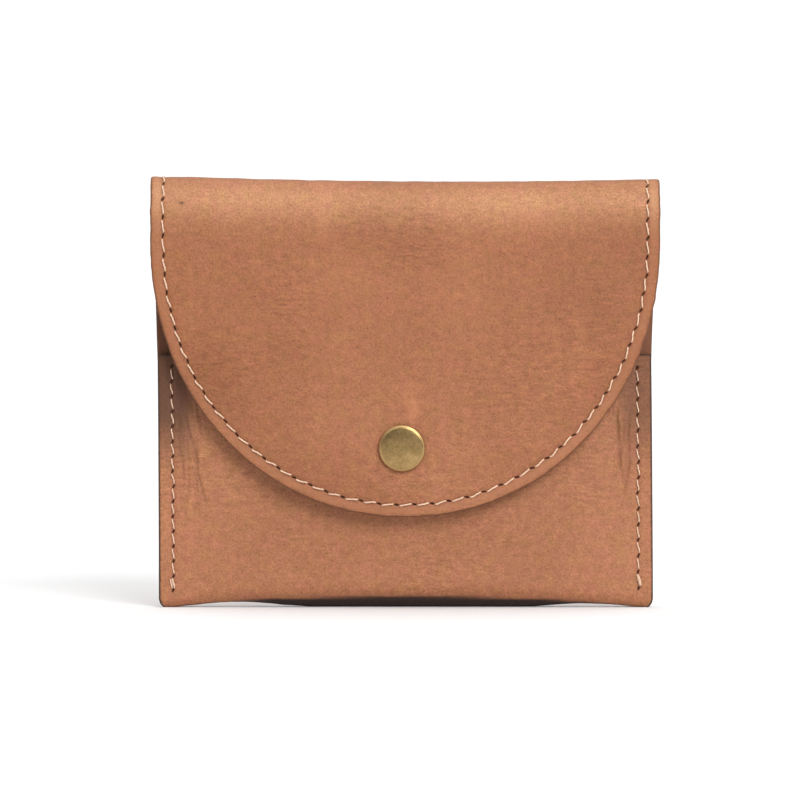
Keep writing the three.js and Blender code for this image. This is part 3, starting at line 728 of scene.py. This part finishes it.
dome = [(r, -1.4 + 0.26 * (r / 4.67) ** 2.6) for r in np.linspace(0, 4.67, 22)]
rim = [(4.58 + 0.62 * math.cos(t), -0.43 - 0.62 * math.sin(t)) for t in np.linspace(1.38, -0.7, 26)]
cap = lathe("snap_cap_brass", dome + rim + round_profile([(4.8, 0.04), (4.6, 0.12), (1.35, 0.12), (1.35, THICK + 0.62), (1.75, THICK + 0.66), (1.75, THICK + 0.85), (0.95, THICK + 0.85), (0.95, 0.2), (0, 0.2)]), flap_face)
# the rim's weight for a lighter brass colour: partly rubbed wear, partly a painted highlight on the rim
cap_radius = np.array([math.hypot(p.co.x - SNAP_X * MM, p.co.z - SNAP_Z * MM) for p in cap.data.vertices]) / MM
cap_rim_wear_and_highlight = cap.data.attributes.new("rim_wear_and_highlight", "FLOAT", "POINT")
cap_rim_wear_and_highlight.data.foreach_set("value", smooth(4.5, 4.85, cap_radius).astype(np.float32))
socket = lathe("snap_socket_brass", round_profile([(1.6, 0.1), (4.4, 0.1), (4.4, 0.5), (4.05, 0.62), (3.95, 2.35), (3.7, 2.6), (2.55, 2.6), (2.55, 2.2), (3.3, 2.1), (3.3, 0.5), (1.6, 0.5)]), flap_back, closed=True)
stud = lathe("snap_stud_brass", round_profile([(0, -2.2), (1.75, -2.1), (2.0, -1.8), (2.0, -1.45), (1.8, -1.15), (1.85, -0.6), (3.7, -0.55), (4.1, -0.42), (4.1, -0.08), (1.5, -0.08), (1.5, -1.75), (0, -1.85)]), front_face)
eyelet = lathe("snap_eyelet_brass", round_profile([(0.8, 0.6), (3.7, 0.6), (3.95, 0.4), (3.95, 0.2), (1.2, 0.2), (1.2, -T - 1.0), (1.35, -T - 1.1), (1.35, -T - 1.3), (0.8, -T - 1.3)]), front_back, closed=True)
spring_ring = [(2.95 + 0.17 * math.cos(t), 1.65 + 0.17 * math.sin(t)) for t in np.linspace(0, 2 * math.pi, 11)[:-1]]


def split_ring(name, y0):
    verts, faces = [], []
    angles = np.linspace(0.16, 2 * math.pi - 0.16, 80)
    for t in angles:
        for r, y in spring_ring:
            verts.append(((SNAP_X + r * math.cos(t)) * MM, (y0 + y + SHIFT_Y) * MM, (SNAP_Z + r * math.sin(t)) * MM))
    m = len(spring_ring)
    for i in range(len(angles) - 1):
        for j in range(m):
            j2 = (j + 1) % m
            faces.append((i * m + j, (i + 1) * m + j, (i + 1) * m + j2, i * m + j2))
    faces.append(tuple(range(m)))
    faces.append(tuple((len(angles) - 1) * m + j for j in range(m))[::-1])
    me = bpy.data.meshes.new(name)
    me.from_pydata(verts, [], faces)
    me.update()
    me.polygons.foreach_set("use_smooth", [True] * len(me.polygons))
    ob = bpy.data.objects.new(name, me)
    bpy.context.scene.collection.objects.link(ob)
    return ob


spring = split_ring("snap_spring_wire", flap_back)


# ---- materials ----------------------------------------------------------
class Nodes:
    def __init__(self, name):
        self.mat = bpy.data.materials.new(name)
        self.mat.use_nodes = True
        self.t = self.mat.node_tree
        self.bsdf = self.t.nodes["Principled BSDF"]

    def add(self, kind, **values):
        n = self.t.nodes.new(kind)
        for k, v in values.items():
            setattr(n, k, v)
        return n

    def link(self, a, b):
        self.t.links.new(a, b)

    def attr(self, name):
        n = self.add("ShaderNodeAttribute", attribute_name=name)
        return n

    def noise(self, vec, scale, detail=3.0, rough=0.55, distort=0.0):
        n = self.add("ShaderNodeTexNoise")
        n.inputs["Scale"].default_value = scale
        n.inputs["Detail"].default_value = detail
        n.inputs["Roughness"].default_value = rough
        n.inputs["Distortion"].default_value = distort
        self.link(vec, n.inputs["Vector"])
        return n.outputs["Fac"]

    def voronoi(self, vec, scale, feature="F1"):
        n = self.add("ShaderNodeTexVoronoi", feature=feature)
        n.inputs["Scale"].default_value = scale
        self.link(vec, n.inputs["Vector"])
        return n.outputs["Distance"]

    def stretch(self, vec, scale, turn=0.0):
        n = self.add("ShaderNodeMapping")
        n.inputs["Scale"].default_value = scale
        n.inputs["Rotation"].default_value = (0, 0, turn)
        self.link(vec, n.inputs["Vector"])
        return n.outputs["Vector"]

    def ramp(self, fac, stops):
        n = self.add("ShaderNodeValToRGB")
        e = n.color_ramp.elements
        while len(e) < len(stops):
            e.new(0.5)
        for k, (p, c) in enumerate(stops):
            e[k].position = p
            e[k].color = (*c, 1) if len(c) == 3 else c
        self.link(fac, n.inputs["Fac"])
        return n.outputs["Color"]

    def mix(self, fac, a, b, mode="MIX"):
        n = self.add("ShaderNodeMix", data_type="RGBA", blend_type=mode)
        if isinstance(fac, (int, float)):
            n.inputs["Factor"].default_value = fac
        else:
            self.link(fac, n.inputs["Factor"])
        for key, s in (("A", a), ("B", b)):
            sock = [i for i in n.inputs if i.name == key and i.type == "RGBA"][0]
            if isinstance(s, tuple):
                sock.default_value = (*s, 1)
            else:
                self.link(s, sock)
        return [o for o in n.outputs if o.type == "RGBA"][0]

    def math(self, op, a, b=None, clamp=False):
        n = self.add("ShaderNodeMath", operation=op, use_clamp=clamp)
        for i, s in enumerate((a, b)):
            if s is None:
                continue
            if isinstance(s, (int, float)):
                n.inputs[i].default_value = s
            else:
                self.link(s, n.inputs[i])
        return n.outputs[0]

    def bump(self, height, distance, strength=1.0, normal=None):
        n = self.add("ShaderNodeBump")
        n.inputs["Distance"].default_value = distance
        n.inputs["Strength"].default_value = strength
        self.link(height, n.inputs["Height"])
        if normal is not None:
            self.link(normal, n.inputs["Normal"])
        return n.outputs["Normal"]


# per-panel colour factors: a real hue difference plus painted light, the pocket brightened and the flap darkened to
# even out their lighting
FLAP_HUE_AND_LIGHT, POCKET_HUE_AND_LIGHT = (0.93, 0.885, 0.76), (1.16, 1.22, 1.21)


def leather_material(name, dark, mid, light, flesh, grain=1.0):
    m = Nodes(name)
    pat = m.attr("pat").outputs["Vector"]
    slow = m.noise(pat, 0.035, 5.0, 0.6, 0.4)
    base = m.ramp(slow, [(0.20, dark), (0.5, mid), (0.82, light)])
    rosy = m.noise(pat, 0.085, 4.0, 0.6)
    base = m.mix(m.math("MULTIPLY", m.ramp_value(rosy, 0.45, 0.75), 0.35), base, tuple(min(1, c * k) for c, k in zip(mid, (1.08, 0.98, 1.12))))
    hue = m.noise(pat, 0.3, 4.0, 0.6)
    base = m.mix(1.0, base, m.ramp(hue, [(0.34, (1.03, 0.96, 1.06)), (0.66, (0.98, 1.03, 0.90))]), "MULTIPLY")
    mottle = m.noise(pat, 0.55, 5.0, 0.7)
    base = m.mix(1.0, base, m.ramp(mottle, [(0.3, (0.80, 0.77, 0.74)), (0.7, (1.13, 1.13, 1.13))]), "MULTIPLY")
    specks = m.noise(pat, 1.9, 3.0, 0.75)
    base = m.mix(1.0, base, m.ramp(specks, [(0.28, (0.68, 0.63, 0.58)), (0.5, (1.0, 1.0, 1.0)), (0.72, (1.20, 1.22, 1.22))]), "MULTIPLY")
    fibre = m.noise(pat, 4.2, 2.0, 0.6)
    base = m.mix(1.0, base, m.ramp(fibre, [(0.3, (0.76, 0.73, 0.71)), (0.5, (1.0, 1.0, 1.0)), (0.7, (1.20, 1.22, 1.22))]), "MULTIPLY")
    # fine wrinkles of the grain, which run across in some places
    wrinkle = m.noise(m.stretch(pat, (0.34, 1.35, 1.0), 0.10), 1.0, 4.0, 0.62, 0.7)
    calm = m.ramp_value(m.noise(pat, 0.028, 1.0), 0.42, 0.62)
    base = m.mix(calm, base, m.mix(1.0, base, m.ramp(wrinkle, [(0.36, (0.86, 0.83, 0.80)), (0.5, (1.0, 1.0, 1.0)), (0.64, (1.10, 1.12, 1.12))]), "MULTIPLY"))
    pores = m.voronoi(pat, 2.1)
    base = m.mix(m.math("MULTIPLY", m.ramp_value(pores, 0.16, 0.04), 0.35), base, tuple(c * 0.45 for c in dark))
    for fx, fv, fr in ((-49.9, V_FLAP + 1.3, 0.52), (-33.5, V_FLAP + 21.0, 0.25), (27.0, V_FLAP + 12.0, 0.22), (-20.0, V_BASE - 14.0, 0.24), (36.0, V_BASE - 22.0, 0.22)):
        away = m.add("ShaderNodeVectorMath", operation="DISTANCE")
        m.link(m.stretch(pat, (0.6, 1.0, 1.0)), away.inputs[0])
        away.inputs[1].default_value = (fx * 0.6, fv, 0)
        base = m.mix(m.math("MULTIPLY", m.ramp_value(away.outputs["Value"], fr, fr * 0.4), 0.7), base, tuple(c * 0.32 for c in dark))
    # faint pale rubs, in a few places and directions
    for k, (turn, w) in enumerate(((0.35, 0.5), (1.9, 0.4))):
        long_vec = m.stretch(pat, (0.05, 0.55, 1.0), turn)
        rub = m.noise(long_vec, 1.0 + 0.3 * k, 3.0, 0.5, 0.2)
        where = m.noise(pat, 0.03 + 0.01 * k, 1.0)
        amount = m.math("MULTIPLY", m.ramp_value(rub, 0.66, 0.80), m.ramp_value(where, 0.52, 0.68))
        base = m.mix(m.math("MULTIPLY", amount, w), base, tuple(min(1, c * 1.35) for c in light))
    worn = m.math("MULTIPLY", m.attr("rub").outputs["Fac"], m.math("ADD", 0.4, m.math("MULTIPLY", 0.6, m.ramp_value(m.noise(m.stretch(pat, (1.0, 0.35, 1.0), 0.15), 0.9, 5.0, 0.7), 0.40, 0.62))))
    base = m.mix(m.math("MULTIPLY", worn, 0.33, clamp=True), base, tuple(min(1, c * 1.5) for c in light))
    base = m.mix(m.math("MULTIPLY", m.attr("band").outputs["Fac"], 0.55), base, light)
    # hue difference and painted light per panel, multiplied in
    base = m.mix(1.0, base, m.mix(m.attr("hue_and_panel_light").outputs["Fac"], FLAP_HUE_AND_LIGHT, POCKET_HUE_AND_LIGHT), "MULTIPLY")
    # painted light on the top fold, multiplied in
    base = m.mix(m.attr("painted_top_light").outputs["Fac"], base, m.mix(1.0, base, (1.47, 1.86, 2.20), "MULTIPLY"))
    # painted shade in the creases
    base = m.mix(m.math("MULTIPLY", m.attr("painted_crease_shade").outputs["Fac"], 0.42), base, tuple(c * 0.3 for c in dark))
    # painted shade under the bottom fold
    base = m.mix(m.attr("painted_underside_shade").outputs["Fac"], base, (0.030, 0.011, 0.007))
    # the flesh side, the cut edges and the needle's slits
    base = m.mix(m.attr("flesh").outputs["Fac"], base, flesh)
    # painted shade in the side slots at the corners of the mouth, where the flap's shadow falls
    base = m.mix(m.attr("painted_shade").outputs["Fac"], base, tuple(c * 0.27 for c in dark))
    base = m.mix(m.math("MULTIPLY", m.attr("seam").outputs["Fac"], 0.22), base, tuple(c * 0.5 for c in mid))
    ragged = m.math("ADD", m.attr("edge").outputs["Fac"], m.math("MULTIPLY", m.math("SUBTRACT", m.noise(pat, 0.9, 3.0), 0.5), 0.5))
    cut_edge = m.mix(m.attr("side").outputs["Fac"], (0.165, 0.066, 0.033), (0.060, 0.030, 0.021))
    base = m.mix(m.ramp_value(ragged, 0.35, 0.95), base, cut_edge)
    # painted shade: the needle's slits coloured near-black, standing in for the shade inside the holes
    base = m.mix(m.ramp_value(m.attr("slit").outputs["Fac"], 0.1, 0.6), base, (0.075, 0.024, 0.011))
    m.link(base, m.bsdf.inputs["Base Color"])
    rough = m.math("ADD", m.math("ADD", 0.50, m.math("MULTIPLY", mottle, 0.16)), m.math("MULTIPLY", m.attr("edge").outputs["Fac"], 0.32), clamp=True)
    m.link(rough, m.bsdf.inputs["Roughness"])
    m.bsdf.inputs["Specular IOR Level"].default_value = 0.42
    m.bsdf.inputs["IOR"].default_value = 1.45
    cells = m.voronoi(pat, 1.35)
    fine = m.noise(pat, 3.2, 4.0, 0.65)
    height = m.math("ADD", m.math("ADD", m.math("MULTIPLY", cells, 0.6), fine), m.math("MULTIPLY", m.math("MULTIPLY", wrinkle, calm), 1.6))
    n1 = m.bump(height, 0.00011 * grain, 1.0)
    n2 = m.bump(m.noise(pat, 0.55, 4.0, 0.6), 0.00022 * grain, 0.8, n1)
    m.link(n2, m.bsdf.inputs["Normal"])
    return m.mat


def ramp_value(self, fac, lo, hi):
    n = self.add("ShaderNodeMapRange", interpolation_type="SMOOTHSTEP")
    n.inputs["From Min"].default_value = lo
    n.inputs["From Max"].default_value = hi
    self.link(fac, n.inputs["Value"])
    return n.outputs["Result"]


Nodes.ramp_value = ramp_value

tan = leather_material("tan_leather", (0.285, 0.108, 0.050), (0.335, 0.130, 0.062), (0.385, 0.158, 0.080), (0.30, 0.155, 0.095))
lining_mat = leather_material("lining_leather", (0.235, 0.080, 0.034), (0.27, 0.093, 0.040), (0.31, 0.110, 0.049), (0.27, 0.098, 0.043), 0.7)


def thread_material():
    m = Nodes("cream_thread")
    pos = m.add("ShaderNodeTexCoord").outputs["Object"]
    n = m.noise(pos, 2600.0, 3.0)
    m.link(m.ramp(n, [(0.3, (0.60, 0.38, 0.25)), (0.7, (0.84, 0.60, 0.43))]), m.bsdf.inputs["Base Color"])
    m.bsdf.inputs["Roughness"].default_value = 0.62
    m.bsdf.inputs["Sheen Weight"].default_value = 0.25
    m.link(m.bump(m.noise(m.stretch(pos, (1, 1, 1)), 9000.0, 2.0), 0.00004, 0.8), m.bsdf.inputs["Normal"])
    return m.mat


def brass_material(name, dark, light, rough):
    m = Nodes(name)
    pos = m.add("ShaderNodeTexCoord").outputs["Object"]
    patina = m.math("ADD", m.math("MULTIPLY", m.noise(pos, 300.0, 2.0, 0.5), 0.4), m.math("MULTIPLY", m.noise(pos, 1500.0, 5.0, 0.7), 0.6))
    base = m.ramp(patina, [(0.34, dark), (0.64, light)])
    # brighter on the rim: partly rubbed wear, partly a painted highlight
    worn = m.attr("rim_wear_and_highlight").outputs["Fac"]
    base = m.mix(m.math("MULTIPLY", worn, 0.55), base, tuple(min(0.95, c * 1.2) for c in light))
    m.link(base, m.bsdf.inputs["Base Color"])
    m.bsdf.inputs["Metallic"].default_value = 1.0
    uneven = m.math("ADD", rough, m.math("MULTIPLY", m.noise(pos, 900.0, 4.0), 0.16))
    m.link(m.math("ADD", uneven, m.math("MULTIPLY", worn, 0.14)), m.bsdf.inputs["Roughness"])
    pits = m.noise(pos, 2600.0, 4.0, 0.6)
    m.link(m.bump(pits, 0.00002, 0.32), m.bsdf.inputs["Normal"])
    return m.mat


thread_mat = thread_material()
brass_mat = brass_material("antique_brass", (0.27, 0.175, 0.066), (0.46, 0.30, 0.132), 0.17)
steel_mat = brass_material("spring_steel", (0.50, 0.50, 0.49), (0.66, 0.66, 0.65), 0.2)

for ob, mat, slot in (
    (leather_body, tan, "leather"), (leather_flap, tan, "leather"), (lining_body, lining_mat, "lining"), (lining_flap, lining_mat, "lining"),
    (thread_pocket, thread_mat, "thread"), (thread_flap, thread_mat, "thread"),
    (cap, brass_mat, "antique_brass"), (socket, brass_mat, "antique_brass"), (stud, brass_mat, "antique_brass"), (eyelet, brass_mat, "antique_brass"),
    (spring, steel_mat, "spring_steel"),
):
    ob.data.materials.append(mat)

# ---- bodies -------------------------------------------------------------
for ob in (leather_body, lining_body, thread_pocket):
    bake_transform(ob)
for ob in (leather_flap, lining_flap, thread_flap):
    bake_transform(ob)
for ob in (cap, socket, spring):
    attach(ob, "flap")
for ob in (stud, eyelet):
    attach(ob, "pocket")
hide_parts("body_leather", "top_fold_leather")
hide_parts("flap_leather")
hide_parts("back_lining", "top_fold_lining")
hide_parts("flap_lining")
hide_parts("left_seam_back_thread", "left_seam_front_thread", "left_seam_inner_thread", "right_seam_back_thread",
            "right_seam_front_thread", "right_seam_inner_thread", "left_fold_stitch", "right_fold_stitch")
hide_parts("flap_face_thread", "flap_back_thread")
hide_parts("snap_cap")
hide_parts("snap_socket")
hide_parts("snap_stud")
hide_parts("snap_eyelet")
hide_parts("snap_spring")

# ---- floor, light, camera -----------------------------------------------
me = bpy.data.meshes.new("floor")
me.from_pydata([(-30, -30, 0), (30, -30, 0), (30, 30, 0), (-30, 30, 0)], [], [(0, 1, 2, 3)])
floor = bpy.data.objects.new("floor", me)
bpy.context.scene.collection.objects.link(floor)
fm = Nodes("pale_floor")
fm.bsdf.inputs["Base Color"].default_value = (0.82, 0.82, 0.82, 1)
fm.bsdf.inputs["Roughness"].default_value = 0.9
fm.bsdf.inputs["Specular IOR Level"].default_value = 0.1
me.materials.append(fm.mat)

WORLD_FRONT, WORLD_REAR, WORLD_TOP = 0.30, 0.85, 1.5
world = bpy.data.worlds.new("studio")
bpy.context.scene.world = world
world.use_nodes = True
wt = world.node_tree
bg = wt.nodes["Background"]
bg.inputs["Color"].default_value = (1, 1, 1, 1)


def world_node(kind, **values):
    n = wt.nodes.new(kind)
    for k, v in values.items():
        setattr(n, k, v)
    return n


def world_step(value, lo, hi, out_lo, out_hi):
    n = world_node("ShaderNodeMapRange", interpolation_type="SMOOTHSTEP")
    for k, v in (("From Min", lo), ("From Max", hi), ("To Min", out_lo), ("To Max", out_hi)):
        n.inputs[k].default_value = v
    wt.links.new(value, n.inputs["Value"])
    return n.outputs["Result"]


def world_mix(fac, a, b):
    n = world_node("ShaderNodeMix", data_type="FLOAT")
    for k, v in ((0, fac), (2, a), (3, b)):
        if isinstance(v, float):
            n.inputs[k].default_value = v
        else:
            wt.links.new(v, n.inputs[k])
    return n.outputs[0]


# a light tent: dimmer in front of the object, white behind it and overhead
split = world_node("ShaderNodeSeparateXYZ")
wt.links.new(world_node("ShaderNodeTexCoord").outputs["Generated"], split.inputs[0])
round_about = world_step(split.outputs["Y"], -0.35, 0.5, WORLD_FRONT, WORLD_REAR)
overhead = world_step(split.outputs["Z"], 0.45, 0.95, 0.0, 1.0)
wt.links.new(world_mix(overhead, round_about, WORLD_TOP), bg.inputs["Strength"])
seen = world_node("ShaderNodeBackground")
seen.inputs["Color"].default_value = (1, 1, 1, 1)
seen.inputs["Strength"].default_value = 1.1
ray = world_node("ShaderNodeLightPath")
pick = world_node("ShaderNodeMixShader")
wt.links.new(ray.outputs["Is Camera Ray"], pick.inputs["Fac"])
wt.links.new(bg.outputs[0], pick.inputs[1])
wt.links.new(seen.outputs[0], pick.inputs[2])
wt.links.new(pick.outputs[0], wt.nodes["World Output"].inputs["Surface"])


def light(kind, name, at, aim, energy, size=None, angle=None, color=(1, 1, 1)):
    data = bpy.data.lights.new(name, kind)
    data.energy = energy
    data.color = color
    if size:
        data.shape = "RECTANGLE"
        data.size, data.size_y = size
    if angle:
        data.angle = math.radians(angle)
    ob = bpy.data.objects.new(name, data)
    ob.location = at
    ob.rotation_mode = "QUATERNION"
    ob.rotation_quaternion = (Vector(aim) - Vector(at)).to_track_quat("-Z", "Y")
    bpy.context.scene.collection.objects.link(ob)
    return ob


light("SUN", "key", (0.36, -0.81, 0.51), (0, 0, 0), 2.0, angle=30)
light("AREA", "softbox_right", (0.55, -0.55, 0.62), (0, 0, 0.05), 0.9, size=(0.4, 0.55))
light("AREA", "softbox_left", (-0.6, -0.35, 0.55), (0, 0, 0.05), 0.2, size=(0.3, 0.5))

cam_data = bpy.data.cameras.new("camera")
cam = bpy.data.objects.new("camera", cam_data)
bpy.context.scene.collection.objects.link(cam)
bpy.context.scene.camera = cam
PX_PER_MM = 4.487
target = Vector((-1.15, -6.0, 46.62)) * MM
elevation, distance = math.radians(1.5), 1.3
back = Vector((0, -math.cos(elevation), math.sin(elevation)))
cam.location = target + back * distance
cam.rotation_mode = "QUATERNION"
cam.rotation_quaternion = (-back).to_track_quat("-Z", "Y")
cam_data.sensor_width = 36
cam_data.lens = 36 * distance / (800 / PX_PER_MM * MM)
cam_data.clip_start, cam_data.clip_end = 0.05, 100

sc = bpy.context.scene
sc.view_settings.view_transform = "Standard"
sc.view_settings.look = "None"
